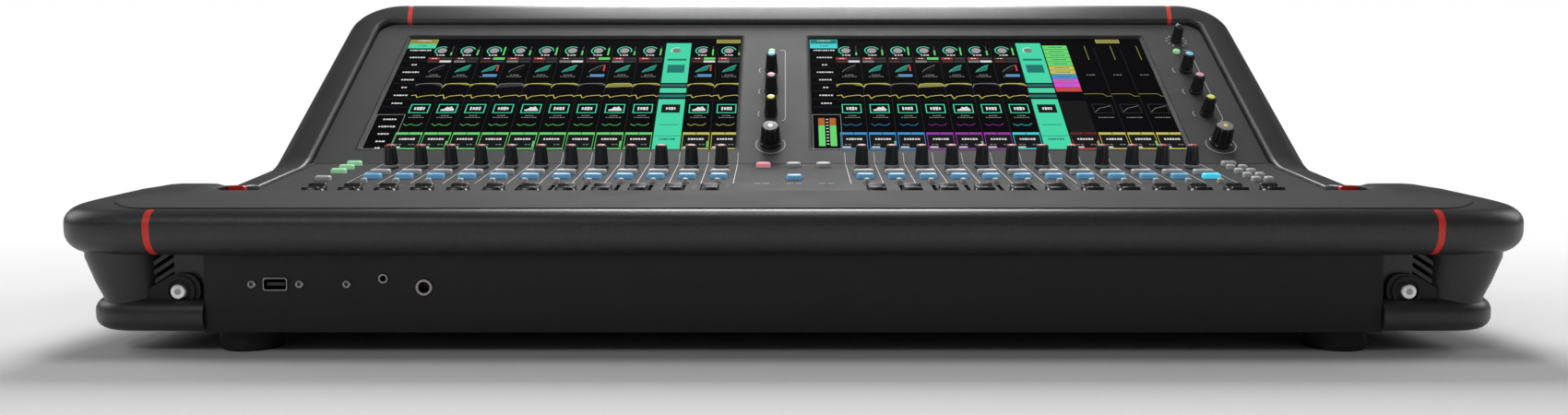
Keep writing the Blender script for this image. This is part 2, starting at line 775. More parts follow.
class DESK_OT_side_frames(bpy.types.Operator):
    """Makes the side frames: castings, tubes, posts, bumpers and cheeks"""

    bl_idname = "desk.side_frames"
    bl_label = "Side frames"

    def execute(self, context):
        for side, node in ((-1, "side_frame_left"), (1, "side_frame_right")):
            bm = bmesh.new()
            self.casting(bm)
            sweep(bm, side_stations())
            self.post(bm)
            self.bumper(bm)
            self.recess(bm)
            self.cheek(bm)
            self.gap(bm)
            if side < 0:
                bmesh.ops.scale(bm, vec=(-1, 1, 1), verts=bm.verts)
            piece(node + "_shell", bm, ["frame", "chassis"], replaces=[node])
        return {"FINISHED"}

    def casting(self, bm):
        """The round front corner."""
        z = sizes()
        low, top, under, over = z.rail_low, z.rail_top, 0.014, 0.010
        profile = [(under + 0.004, low, 0.0)]
        for k in range(9):
            a = math.pi / 2 * k / 8
            profile.append((under * (1 - math.sin(a)), low + under * (1 - math.cos(a)), 0.0))
        for k in range(9):
            a = math.pi / 2 * k / 8
            profile.append((over * (1 - math.cos(a)), top - over + over * math.sin(a), 1.0))
        sweep(bm, [casting_ring(*row) for row in profile])
        ys = [z.front_y + 0.035 + 0.0125 * k for k in range(6)]
        slice_up(bm, [0.400 + 0.008 * k for k in range(7)], ys)
        for vert in bm.verts:
            if vert.co.z > arm_height(vert.co.y) - 0.001:
                vert.co.z += crown(vert.co.x, vert.co.y)

    def post(self, bm):
        """The tapered post under the corner, flared at both ends."""
        z = sizes()
        rows = (
            (0.0236, 0.0730, 0.0030), (0.0232, 0.0600, 0.0034), (0.0222, 0.0540, 0.0046),
            (0.0206, 0.0440, 0.0068), (0.0190, 0.0360, 0.0090), (0.0180, 0.0280, 0.0103),
            (0.0176, 0.0200, 0.0106),
        )
        rings = []
        for radius, height, shift in rows:
            centre = Vector((z.half_w - 0.0345 - shift, z.front_y + 0.0325, height))
            rings.append([
                centre + radius * Vector((math.cos(a), math.sin(a), 0))
                for a in (2 * math.pi * k / 40 for k in range(40))
            ])
        sweep(bm, rings)

    def bumper(self, bm):
        """The lower bumper, round at its edges."""
        z = sizes()
        inner, outer = 0.3634, z.half_w - 0.015
        wall, front = z.half_w - z.tube_w, z.front_y + 0.0105
        depth = 0.0490
        rings = []
        radius = 0.0085
        for k in range(9):
            a = math.pi / 2 * (k / 8)
            rings.append((radius * (1 - math.sin(a)), z.foot_h + radius * (1 - math.cos(a))))
        for k in range(9):
            a = math.pi / 2 * (k / 8)
            rings.append((radius * (1 - math.cos(a)), z.foot_h + z.bumper_h - radius + radius * math.sin(a)))
        sections = []
        for inward, height in rings:
            outline = rounded([
                (inner, front + inward, 0.0), (outer - inward, front + inward, 0.034 - inward),
                (outer - inward, z.rear_y - 0.004, 0.004), (wall, z.rear_y - 0.004, 0.0),
                (wall, front + depth - 0.008, 0.004), (inner, front + depth - 0.008, 0.0)], 10)
            sections.append(raised(Matrix(), outline, height))
        sweep(bm, sections)

    def recess(self, bm):
        """The wall behind the open corner, its slanting ribs and the lug for the bolt."""
        z = sizes()
        wall_y = z.front_y + 0.0485
        low, top = z.foot_h + z.bumper_h - 0.001, z.rail_low + 0.001
        middle = at(0.394, wall_y, (low + top) / 2, TO_FRONT)
        plate(bm, middle, 0.0605, top - low, -0.001, 0.002, 0.0, 1)
        for k in range(4):
            place = at(0.3915, wall_y - 0.001, 0.0430 + 0.0058 * k, TO_FRONT)
            tilt = Matrix.Rotation(math.radians(-33), 4, "Z")
            plate(bm, place @ tilt, 0.030, 0.0024, 0.0, 0.024, 0.0008, 0)
        bolt_x, bolt_z = bolt_place()
        lug = at(bolt_x, z.front_y + 0.049, bolt_z, TO_FRONT)
        outline = rounded([
            (-0.0120, -0.0092, 0.0085), (0.0200, -0.0092, 0.001), (0.0200, 0.0012, 0.001),
            (0.0040, 0.0108, 0.010), (-0.0120, 0.0108, 0.0090)], 6)
        outline_solid(bm, outline, 0.0, 0.0300, lug, 1)
        side_wall = at(0.3745, z.front_y + 0.0400, (low + top) / 2, TO_FRONT)
        plate(bm, side_wall, 0.0225, top - low, -0.008, 0.0175, 0.0, 0)
        ring = [(0.0074, 0.0298), (0.0074, 0.0312), (0.0092, 0.0312), (0.0092, 0.0298)]
        turned(bm, lug, ring, 32, 1)

    def gap(self, bm):
        """The dark gap between the side tube and the fader panel."""
        z = sizes()
        wall = z.half_w - z.tube_w
        points = []
        for k in range(13):
            y = z.fold_y - 0.001 - 0.200 * k / 12
            ease = smooth((y - z.front_y - z.corner_len - z.band_w - 0.012) / 0.085)
            inner = z.band_x - 0.012 + (wall - z.band_x + 0.012) * ease
            points.append((inner - 0.0023, (y - z.fold_y) / math.cos(z.fader_tilt)))
        flat_line(bm, on_fader(), points, 0.0040, 0.0004, 1)

    def cheek(self, bm):
        """The closed cheek from the side tube down to the bumper."""
        z = sizes()
        tilt = z.screen_tilt
        low = z.proud - z.tube_t - 0.0004
        d, n = Vector((math.cos(tilt), math.sin(tilt))), Vector((-math.sin(tilt), math.cos(tilt)))
        fold = Vector((z.fold_y, z.fold_z))
        top = fold + d * (z.panel_len + z.rail_w - 0.006) + n * low
        bend = fold + d * 0.012 + n * low
        base = z.foot_h + z.bumper_h - 0.001
        front = z.front_y + z.corner_len - 0.030
        back = z.rear_y - 0.004
        outline = rounded([
            (front, base, 0), (back, base, 0), (back, 0.2028, 0.012), (top.x + 0.010, top.y - 0.001, 0.010),
            (top.x, top.y, 0), (bend.x, bend.y, 0.01), (bend.x - 0.006, z.rail_low + 0.001, 0.004),
            (front, z.rail_low + 0.001, 0)], 5)
        wall = z.half_w - z.tube_w
        sweep(bm, [[Vector((wall + w, p.x, p.y)) for p in outline] for w in (0.0, 0.0105, 0.012)])


def bolt_place():
    """Middle of the right frame bolt."""
    low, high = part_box("frame_bolts")
    return high.x - 0.0049, (low.z + high.z) / 2


class DESK_OT_bands(bpy.types.Operator):
    """Makes the coloured rings between the frame's pieces"""

    bl_idname = "desk.bands"
    bl_label = "Bands"

    def execute(self, context):
        z = sizes()
        bm = bmesh.new()
        inset = 0.0002
        sweep(bm, [front_section(x, inset) for x in (z.band_x - z.band_w, z.band_x)])
        first = side_stations(inset)[0]
        sweep(bm, [[p + Vector((0, shift, 0)) for p in first] for shift in (-z.band_w, 0.0)])
        reach = top_band_x()
        sweep(bm, [top_section(x, inset) for x in (reach, reach + z.band_w)])
        mirrored(bm)
        piece("band_rings", bm, ["band"], replaces=["accent_bands"])
        return {"FINISHED"}


class DESK_OT_armrest(bpy.types.Operator):
    """Makes the armrest pad"""

    bl_idname = "desk.armrest"
    bl_label = "Armrest"

    def execute(self, context):
        z = sizes()
        bm = bmesh.new()
        front, back, tip = z.front_y + 0.0095, z.front_y + z.rail_d - 0.005, 0.4370
        half = [
            (0.0, front, 0.0), (tip - 0.030, front, 0.030), (tip, z.front_y + 0.044, 0.020),
            (tip - 0.014, back - 0.018, 0.014), (tip - 0.032, back - 0.018, 0.004),
            (tip - 0.042, back, 0.004), (0.0, back, 0.0)]
        right = rounded(half, 7)
        outline = right + [Vector((-p.x, p.y)) for p in reversed(right[1:-1])]
        levels = ((0.0, -0.002), (0.0, 0.0003), (0.0006, 0.0008))
        rings = []
        middle = Vector((0, (front + back) / 2))
        for inward, lift in levels:
            ring = []
            for p in outline:
                away = p - middle
                x = p.x - math.copysign(min(inward, abs(p.x)), p.x) if abs(p.x) > 0.3 else p.x
                y = p.y - math.copysign(inward, away.y)
                ring.append(Vector((x, y, lift)))
            rings.append(ring)
        sweep(bm, rings)
        xs = [side * (0.387 + 0.007 * k) for side in (-1, 1) for k in range(7)]
        slice_up(bm, xs, [z.front_y + 0.040 + 0.010 * k for k in range(5)])
        for vert in bm.verts:
            vert.co.z += arm_height(vert.co.y) + crown(vert.co.x, vert.co.y)
        piece("armrest_cover", bm, ["pad"], replaces=["armrest_pad"], angle=25)
        return {"FINISHED"}


# Panels and print


class DESK_OT_panels(bpy.types.Operator):
    """Finishes the panels and the chassis that stay as they are"""

    bl_idname = "desk.panels"
    bl_label = "Panels"

    def execute(self, context):
        for node, material in (
            ("fader_panel", "fader_panel"), ("screen_panel", "panel"), ("base_pan", "chassis"),
            ("front_panel", "chassis"), ("rear_panel", "chassis"), ("power_supply", "steel"),
            ("main_board", "board"), ("fader_tracks", "steel"), ("panel_brackets", "steel"),
        ):
            dress(node, material)
        return {"FINISHED"}


class DESK_OT_print(bpy.types.Operator):
    """Prints the lines on both control panels"""

    bl_idname = "desk.print"
    bl_label = "Print"

    def execute(self, context):
        z = sizes()
        bm = bmesh.new()
        low, high, line, rise = on_fader(), on_screen(), 0.00055, 0.00006
        for bank in (z.left_bank, z.right_bank):
            for k in range(z.strips + 1):
                x = bank + k * z.pitch
                flat_line(bm, low, [(x, -0.0008), (x, KEYS_END)], line, rise)
                flat_line(bm, high, [(x, 0.0008), (x, z.screen_up - 0.005)], line, rise)
        for node in ("centre_knob_large", "right_knob_large"):
            x, s = spot_on_screen(node)
            flat_line(bm, high, arc(x, s - 0.001, 0.0132, 150, 390, 26), 0.0008, rise)
        gap = 0.0135
        for node in ("centre", "right"):
            x, top = spot_on_screen(node + "_knob_1")
            bottom = spot_on_screen(node + "_knob_3")[1]
            points = [(x + gap - 0.0055, top + 0.038)] + arc(x + gap - 0.003, top + 0.035, 0.003, 80, 0, 4)
            points += [(x + gap, top), (x + gap, bottom)]
            points += arc(x + gap - 0.004, bottom - 0.006, 0.004, 0, -80, 4)
            flat_line(bm, high, points, 0.0007, rise)
            for row in ("1", "2", "3"):
                mark_s = spot_on_screen(f"{node}_knob_{row}")[1] + 0.001
                bow = arc(x - 0.0055, mark_s, 0.0066, 215, 145, 6)
                flat_line(bm, high, bow, 0.0008, rise)
        x, s = spot_on_screen("phones_knob")
        for k in range(11):
            a = math.radians(240 - 30 * k)
            ends = [(x + r * math.cos(a), s + r * math.sin(a)) for r in (0.0084, 0.0110)]
            flat_line(bm, high, ends, 0.0009, rise)
        for x in key_columns():
            flat_line(bm, low, [(x - 0.0058, KEYS_END), (x - 0.001, KEYS_END)], 0.0007, rise)
            flat_line(bm, low, [(x + 0.001, KEYS_END), (x + 0.0058, KEYS_END)], 0.0007, rise)
        for bank in (z.left_bank, z.right_bank):
            for k in range(z.strips):
                x = bank + (k + 0.5) * z.pitch + 0.0075
                for tick in range(11):
                    s = 0.101 + 0.0102 * tick
                    end = x + (0.0032 if tick % 5 == 0 else 0.0020)
                    flat_line(bm, low, [(x, -s), (end, -s)], 0.0004, rise)
        piece("panel_print", bm, ["ink"], angle=60)
        return {"FINISHED"}


def key_columns():
    """Middles of the keys between the banks."""
    z = sizes()
    return (z.left_bank + z.strips * z.pitch + 0.023, 0.0025, z.right_bank - 0.020)


# Screens


class DESK_OT_screens(bpy.types.Operator):
    """Makes both displays: bezel, glass and what they show"""

    bl_idname = "desk.screens"
    bl_label = "Screens"

    def execute(self, context):
        z = sizes()
        bm = bmesh.new()
        bezel = bmesh.new()
        for bank in (z.left_bank, z.right_bank):
            x = bank + z.strips * z.pitch - z.screen_w / 2
            middle = on_screen(x, z.screen_up + z.screen_h / 2)
            plate(bm, middle, z.screen_w - 0.0012, z.screen_h - 0.0012, -0.0140, -0.0023, 0.0025)
            rings = []
            for inward, h in (
                (0.0002, -0.0024), (0.0002, 0.00012), (-0.0009, 0.00012), (-0.0009, 0.00003),
                (0.0006, -0.0001), (0.0030, -0.0022), (0.0030, -0.0024),
            ):
                outline = box_outline(z.screen_w - 2 * inward, z.screen_h - 2 * inward, 0.003)
                rings.append(raised(middle, outline, h))
            sweep(bezel, rings, caps=False)
        piece("display_glass_panes", bm, ["glass"], replaces=["screens"])
        piece("display_bezels", bezel, ["chassis"])
        names = list(SCREEN_TINTS)
        for side, bank, tabs in (("left", z.left_bank, "teal"), ("right", z.right_bank, "cyan")):
            bm = bmesh.new()
            Picture(bm, bank, names).draw(side, tabs)
            piece(f"display_picture_{side}", bm, names, angle=80)
        return {"FINISHED"}


class Picture:
    """What a display shows: columns of controls, with bars in place of words."""

    def __init__(self, bm, bank, names):
        self.bm, self.bank, self.names = bm, bank, names

    def tile(self, x, s, w, l, tint, lift=0):
        """A lit rectangle; x and s are its middle, in millimetres."""
        place = on_screen(self.bank + x * MM, s * MM, GLASS_H)
        thick = 0.00005 + 0.00004 * lift
        plate(self.bm, place, w * MM, l * MM, 0.0, thick, 0.0, self.names.index(tint))

    def frame(self, x, s, w, l, line, tint):
        """The outline of a rectangle."""
        for side in (-1, 1):
            self.tile(x + side * (w - line) / 2, s, line, l, tint, 2)
            self.tile(x, s + side * (l - line) / 2, w, line, tint, 2)

    def curve(self, x, s, points, line, tint):
        """A line through points given from its middle."""
        place = on_screen(self.bank + x * MM, s * MM, GLASS_H + 0.00008)
        scaled = [(a * MM, b * MM) for a, b in points]
        flat_line(self.bm, place, scaled, line * MM, 0.00004, self.names.index(tint))

    def wedge(self, x, s, points, tint):
        """A filled shape."""
        place = on_screen(self.bank + x * MM, s * MM, GLASS_H)
        scaled = [(a * MM, b * MM) for a, b in points]
        outline_solid(self.bm, scaled, 0.0, 0.00008, place, self.names.index(tint))

    def words(self, x, s, w, tint="white", height=1.5, seed=0):
        """A row of short bars where words would be."""
        count = max(2, int(w / 2.4))
        step = w / count
        for k in range(count):
            part = step * (0.62 + 0.12 * ((k * 7 + seed * 3) % 3))
            self.tile(x - w / 2 + (k + 0.5) * step, s, part, height * (0.8 + 0.1 * ((k + seed) % 3)), tint, 3)

    def draw(self, side, tabs):
        """The whole picture."""
        self.navigation(side, tabs)
        left = ["green"] * 9 + ["wide"] + ["yellow"] * 2
        right = ["blue"] * 3 + ["purple"] * 3 + ["cyan"] + ["wide", "block"] + ["yellow"] * 3
        for k, tint in enumerate(left if side == "left" else right):
            x = (k + 0.5) * 26.4 - 3.6
            if tint == "block":
                self.block_column(x)
            elif tint == "wide":
                self.wide_column(x, k)
            elif side == "right" and k > 8:
                self.group_column(x, k, tint)
            else:
                self.column(x, k, tint, side)
        x = (11.4 if side == "left" else 10.6) * 26.1
        self.tile(x, 207.5, 24.0, 6.4, "yellow")
        self.tile(x, 207.5, 22.8, 5.2, "olive", 1)

    def navigation(self, side, tabs):
        """The column of page names and the tabs over it."""
        self.tile(-14.0, 206.8, 28.0, 8.0, "cyan" if side == "right" else "yellow")
        self.tile(-14.0, 206.8, 26.8, 6.8, "dark_teal" if side == "right" else "olive", 1)
        self.words(-14.0, 208.6, 14.0, "white", 1.3)
        self.tile(-14.0, 198.4, 28.0, 8.0, tabs)
        self.words(-14.0, 199.0, 9.0, "dark_teal", 1.4)
        for k, w in enumerate((22, 16, 6, 17, 13, 6, 14, 11)):
            s = 190.5 - 13.4 * k
            self.words(-14.0, s, w, "white", 2.0, k)
            self.tile(-14.0, s - 6.0, 24.0, 0.3, "dim")
        self.frame(-14.5, 51.5, 27.0, 54.0, 0.7, "grey")
        if side == "left":
            for k, w in enumerate((13, 16, 11, 9)):
                self.words(-14.0, 70.5 - 11.5 * k, w, "white", 2.0, k + 2)
            self.words(-14.0, 26.0, 5.0, "white", 2.6)
            return
        for x in (-19.5, -9.0):
            self.tile(x, 45.0, 6.0, 32.0, "green")
            self.tile(x, 67.0, 6.0, 11.0, "orange")
        for k in range(9):
            self.tile(-14.2, 32.0 + 4.8 * k, 2.2, 1.2, "white", 1)

    def knob(self, x, s, k, tint):
        """A dial with its arc, and the meter beside it."""
        self.wedge(x, s, arc(0, 0, 4.7, 0, 345, 20), "pale")
        self.curve(x, s, arc(0, 0, 7.0, 235, 60 - (k * 37) % 90, 14), 1.2, tint)
        self.tile(x + 10.4, s, 1.4, 17.0, "dim")
        level = 5.0 + (k * 5) % 11
        self.tile(x + 10.4, s - 8.5 + level / 2, 1.6, level, "green", 1)
        self.words(x, s - 8.6, 9.0, "white", 1.7, k)

    def column(self, x, k, tint, side):
        """One channel's controls."""
        self.tile(x + 12.9, 119.0, 0.25, 150.0, "dim")
        self.knob(x - 1.5, 190.0, k, "teal")
        lit = (k * 3 + (side == "right")) % 4
        self.tile(x - 6.1, 175.2, 11.4, 4.0, "brick" if lit in (0, 1) else "brown")
        self.tile(x + 6.0, 175.2, 11.4, 4.0, "green" if lit == 2 else "dim")
        self.tile(x - 6.1, 169.8, 11.4, 3.6, "grey" if k % 2 else "brown")
        self.tile(x + 6.0, 169.8, 11.4, 3.6, "dim")
        self.words(x - 6.1, 175.2, 6.0, "white", 1.2, k)
        if k % 5 == 0:
            self.tile(x + 6.0, 169.8, 11.4, 3.4, "white", 1)
        rise = [(-6.5, -6.5), (-4.5, -2.5), (-2.5, -1.0), (0.5, 2.2), (3.5, 4.5), (7.0, 6.0)]
        self.wedge(x, 157.0, rise + [(5.0, -3.0), (-4.0, -6.2)], "dark_teal" if k % 3 else "tile")
        self.curve(x, 157.0, rise, 0.6, "teal" if k % 3 else "grey")
        if k % 4 == 2:
            self.tile(x + 8.0, 158.0, 1.6, 11.0, "red")
            self.tile(x + 2.5, 144.5, 14.0, 4.6, "blue")
        self.words(x, 145.5, 9.0, "grey", 1.1, k)
        self.words(x, 142.5, 15.0, "grey", 1.1, k + 1)
        dip = (k * 5) % 7
        curve = [(-13, -4.5 if k % 2 else 0.0), (-11, 1.0), (-5, 2.4), (2, 2.6), (9, 2.6), (11, 1.4)]
        curve.append((13, -3.0 + dip * 0.6))
        under = [(13, -1.0), (2, 1.2), (-9, 1.2), (-13, -4.0)]
        lit = (k + (side == "right")) % 3
        self.wedge(x, 128.0, curve + under, "olive" if lit else "dim")
        self.curve(x, 128.0, curve, 0.8, "yellow" if lit else "grey")
        wave = [(-13, 0.6), (-9, 1.6), (-7, -2.6 - dip * 0.4), (-3, -0.6)]
        wave += [(4, 0.9), (9, 1.4), (11, -1.0), (13, 0.4)]
        self.curve(x, 109.0, wave, 0.9, "yellow")
        self.tile(x, 101.5, 25.0, 0.25, "dim")
        self.frame(x, 88.0, 18.5, 14.5, 1.0, "teal")
        if k % 3 == 1:
            hill = [(-6, -3.6), (6.5, -3.6), (6.5, -1.4), (3.4, 3.6)]
            self.wedge(x, 88.0, hill + [(1.4, 1.8), (-1.0, 2.8), (-3, -0.6), (-6, -1.6)], "white")
        else:
            self.words(x, 88.0, 11.0, "white", 5.0, k)
        self.words(x, 76.5, 8.0, "grey", 1.1, k)
        self.words(x, 73.5, 15.0, "grey", 1.1, k + 2)
        small = [(-9, 1.0), (-6, -1.5), (-2, 1.0), (1, -1.0), (5, -1.0), (8, 2.0)]
        self.curve(x, 62.0, small, 0.5, tint)
        self.name_tile(x, k, tint)

    def group_column(self, x, k, tint):
        """A group's column, with few controls in it."""
        self.tile(x + 12.9, 119.0, 0.25, 150.0, "dim")
        self.tile(x + 4.0, 186.0, 0.7, 26.0, "olive", 1)
        self.words(x, 145.5, 9.0, "grey", 1.1, k)
        self.curve(x, 112.0, [(-13, 0.4), (-3, 0.8), (5, 0.6), (8, -3.4), (13, -3.2)], 0.7, "olive")
        self.frame(x, 88.0, 18.5, 14.5, 0.5, "dim")
        self.curve(x, 88.0, [(-8, -5), (-3, 0.5), (3, 2.6), (8, 4.5)], 0.6, "grey")
        self.words(x, 73.5, 15.0, "grey", 1.1, k + 2)
        self.name_tile(x, k, tint)

    def name_tile(self, x, k, tint):
        """The coloured name plate at the foot of a column."""
        self.tile(x, 36.2, 24.6, 27.4, tint)
        self.tile(x, 36.2, 23.6, 20.4, "tile", 1)
        self.tile(x, 48.2, 0.6, 3.2, "tile", 2)
        self.words(x, 39.5, 15.0, "white", 2.6, k)
        self.words(x - 6.0, 31.2, 7.0, "grey", 1.4, k)
        self.words(x + 6.0, 31.2, 6.0, "grey", 1.4, k + 1)
        self.tile(x - 7.0, 27.4, 7.5, 1.7, "white", 2)
        if k % 3 == 1:
            self.tile(x + 10.8, 32.0, 1.4, 9.0, "green", 2)

    def wide_column(self, x, k):
        """The chosen channel: its whole column is lit."""
        self.tile(x, 113.5, 25.4, 181.0, "teal")
        self.wedge(x - 1.5, 190.0, arc(0, 0, 3.9, 0, 345, 18), "grey")
        self.curve(x - 1.5, 190.0, arc(0, 0, 5.4, 215, 60, 10), 0.9, "white")
        self.tile(x, 173.0, 19.0, 3.4, "dark_teal", 2)
        self.tile(x, 156.5, 17.0, 14.0, "dark_teal", 2)
        self.curve(x, 156.5, [(-7, -5), (-4, -1), (0, 1), (7, 5)], 0.7, "teal")
        self.tile(x, 127.0, 25.4, 9.0, "tile", 1)
        self.tile(x, 127.0, 25.4, 3.4, "dark_teal", 2)
        self.tile(x, 109.0, 25.4, 11.0, "tile", 1)
        self.tile(x, 109.0, 25.4, 4.2, "dark_teal", 2)
        self.tile(x, 88.0, 17.5, 13.5, "tile", 2)
        self.words(x, 88.0, 10.0, "white", 4.4, k)
        self.tile(x, 62.0, 18.0, 0.9, "dark_teal", 2)
        self.words(x, 39.5, 15.0, "dark_teal", 2.8, k)
        self.tile(x, 44.5, 24.0, 0.7, "dark_teal", 2)

    def block_column(self, x):
        """A group channel: no dials, a list of coloured rows."""
        for k, tint in enumerate(["green"] * 5 + ["yellow"] * 2 + ["blue"] + ["magenta"] * 2 + ["red"]):
            self.tile(x, 196.0 - 7.6 * k, 24.8, 7.0, tint)
            self.words(x, 196.0 - 7.6 * k, 15.0, "dark_teal", 1.4, k)
        self.tile(x, 70.0, 24.8, 62.0, "tile")
        self.name_tile(x, 4, "red")


# Knobs, keys and faders


def knob_shape(bm, place, skirt, top, height, small_lamp=False):
    """A fluted knob: a grey ring at its foot, a tapered grip and a lit cap."""
    ring = [(skirt * 0.96, 0.0006), (skirt, 0.0012), (skirt, 0.0026), (skirt * 0.95, 0.0031)]
    turned(bm, place, ring, 32, 1)
    low, high = skirt * 0.93, top
    foot = [(skirt * 0.40, 0.0006), (skirt * 0.93, 0.0030), (low, 0.0034), (low * 0.99, 0.0060)]
    turned(bm, place, foot, 40, 0)
    grip = [(low * 0.985, 0.0040), (low * 0.97, 0.0060)]
    for k in range(1, 7):
        t = k / 6
        grip.append((low * 0.97 + (high - low * 0.97) * t ** 0.85, 0.006 + (height - 0.0075) * t))
    grip += [(high * 0.93, height - 0.0007), (high * 0.80, height - 0.0003)]
    turned(bm, place, grip, 72, 0, 12, 0.13)
    def disc(rows, segments, index):
        turned(bm, place, [(high * wide, height + h) for wide, h in rows], segments, index)

    if small_lamp:
        disc([(0.84, -0.0008), (0.84, -0.0002), (0.78, -0.0001)], 32, 3)
        disc([(0.24, -0.0003), (0.24, 0.0002), (0.15, 0.0003)], 20, 2)
    else:
        disc([(0.66, -0.0008), (0.66, -0.0001), (0.56, 0.0001)], 32, 2)
    shaft = [(0.003, -0.009), (0.003, 0.001)]
    turned(bm, place, shaft, 16, 0)


class DESK_OT_knobs(bpy.types.Operator):
    """Makes the encoders in the strips and the loose knobs"""

    bl_idname = "desk.knobs"
    bl_label = "Knobs"

    def execute(self, context):
        bm = bmesh.new()
        encoder_s = 0.020
        for x in strip_places():
            place = on_fader(x, encoder_s)
            knob_shape(bm, place, 0.0065, 0.0051, 0.0203)
            plate(bm, place, 0.012, 0.012, -0.0085, -0.0026, 0.001, 0)
        piece("strip_encoders", bm, ["knob", "skirt", "lamp_red"], replaces=["strip_rotaries"])
        lamps = {"1": "lamp_blue", "2": "lamp_pink", "3": "lamp_yellow", "large": "lamp_white"}
        for node, x in knob_places().items():
            bm = bmesh.new()
            kind = node.split("_")[-1]
            place = on_screen(x, self.foot(node))
            if kind == "large":
                lamp = "lamp_white" if node.startswith("centre") else "lamp_yellow"
                knob_shape(bm, place, 0.0099, 0.0080, 0.0202, True)
                names = ["knob", "knob", lamp, "lamp_grey"]
            elif kind == "knob":
                knob_shape(bm, place, 0.0058, 0.0044, 0.0181)
                pointer = shifted(place @ Matrix.Rotation(math.radians(115), 4, "Z"), 0.0024)
                plate(bm, pointer, 0.0040, 0.0009, 0.0178, 0.01835, 0.0002, 3)
                names = ["knob", "knob", "knob", "ink"]
            else:
                knob_shape(bm, place, 0.0065, 0.0050, 0.0203)
                names = ["knob", "knob", lamps[kind]]
            piece(node + "_grip", bm, names, body=node, replaces=[node])
        return {"FINISHED"}

    def foot(self, node):
        """Distance up the panel to a knob's axis."""
        for joint in frame["joints"]:
            if joint["child"] == node:
                z = sizes()
                away = Vector(joint["pos_m"]) - Vector((0, z.fold_y, z.fold_z))
                return away.dot(Vector((0, math.cos(z.screen_tilt), math.sin(z.screen_tilt))))
        raise ValueError(node)


class DESK_OT_keys(bpy.types.Operator):
    """Makes the keys of every kind"""

    bl_idname = "desk.keys"
    bl_label = "Keys"

    def execute(self, context):
        z = sizes()
        strips = strip_places()
        centre = key_columns()
        whites = [(x, 0.048, 0.017, 0.008, 0) for x in strips]
        whites += [(x, 0.015, 0.0125, 0.009, k == 0) for k, x in enumerate(centre)]
        self.keys("mute_keys", whites, ["key_white", "key_red"])
        blues = [(x, 0.067, 0.0145, 0.008, k == len(strips) - 1) for k, x in enumerate(strips)]
        blues += [(centre[1], 0.073, 0.013, 0.009, 0)]
        self.keys("select_keys", blues, ["key_blue", "key_cyan"])
        self.keys("listen_keys", [(x, 0.088, 0.005, 0.005, 0) for x in strips], ["key_white"])
        panel = z.half_w - z.tube_w - 0.0006
        rows = (0.007, 0.0255, 0.044, 0.0625, 0.081)
        soft = [(-panel + 0.040, s, 0.0125, 0.007, 0) for s in rows[:3]]
        soft.append((-panel + 0.040, rows[4] - 0.003, 0.0125, 0.007, 1))
        soft.append((panel - 0.0385, rows[0], 0.0125, 0.007, 1))
        soft += [(panel - 0.0385 + x, s, 0.007, 0.007, 1) for s in rows[1:] for x in (-0.0052, 0.0052)]
        self.keys("soft_keys", soft, ["key_green", "key_white"])
        bm = bmesh.new()
        for node in ("centre_knob_1", "right_knob_1"):
            x, s = spot_on_screen(node)[0], 0.030 + 4 * 0.037 + 0.006
            top = [(0.0035, -0.005), (0.0035, 0.0014), (0.0031, 0.0020), (0.0024, 0.0022)]
            turned(bm, on_screen(x, s), top, 28)
        piece("assign_key_caps", bm, ["key_green"], body="assign_keys", replaces=["assign_keys"])
        return {"FINISHED"}

    def keys(self, node, places, materials):
        """Keys with round edges and a dished top."""
        top = sizes().key_h
        profile = ((0.0, -0.005), (0.0, 0.0024), (0.0003, 0.0031), (0.0010, top), (0.0016, top - 0.0002))
        bm = bmesh.new()
        for x, s, w, l, lit in places:
            rings = []
            for inward, h in profile:
                outline = box_outline(w - 2 * inward, l - 2 * inward, min(w, l) * 0.30 - inward * 0.5)
                rings.append(raised(on_fader(x, s), outline, h))
            tint_faces(sweep(bm, rings), int(bool(lit and len(materials) > 1)))
        piece(node + "_caps", bm, materials, body=node, replaces=[node])


class DESK_OT_faders(bpy.types.Operator):
    """Makes the fader caps on their stems"""

    bl_idname = "desk.faders"
    bl_label = "Faders"

    def execute(self, context):
        z = sizes()
        for k, x in enumerate(strip_places()):
            node = f"fader_{k + 1:02d}"
            bm = bmesh.new()
            place = on_fader(x, z.fader_s)
            self.cap(bm, place)
            plate(bm, place, 0.0016, 0.006, -0.016, 0.006, 0.0, 2)
            piece(node + "_cap", bm, ["cap", "ink", "steel"], body=node, replaces=[node])
        return {"FINISHED"}

    def cap(self, bm, place):
        """A scooped cap: low in the middle, a lip at each end, a round boss on its side."""
        half_w, half_l, low, top = 0.00665, 0.0113, 0.0040, 0.0174
        rings = []
        for t in (-1.0, -0.93, -0.8, 0.8, 0.93, 1.0):
            edge = {1.0: 0.0012, 0.93: 0.0004, 0.8: 0.0}[abs(t)]
            length_low, length_top = half_l - edge, half_l - 0.0024 - edge
            side = [(-length_low, low + edge), (-length_low, low + 0.004)]
            side += [(-length_top, top - 0.0014), (-length_top + 0.001, top - edge)]
            for k in range(9):
                u = -1 + k / 4
                side.append((u * (length_top - 0.0018), top - edge - 0.0034 * math.cos(u * math.pi / 2)))
            side += [(length_top - 0.001, top - edge), (length_top, top - 0.0014)]
            side += [(length_low, low + 0.004), (length_low, low + edge)]
            rings.append([place @ Vector((t * half_w, a, b)) for a, b in side])
        sweep(bm, rings)
        plate(bm, place, 2 * half_w - 0.002, 0.0007, top - 0.0036, top - 0.0031, 0.0, 1)


# Sockets, bolts and feet


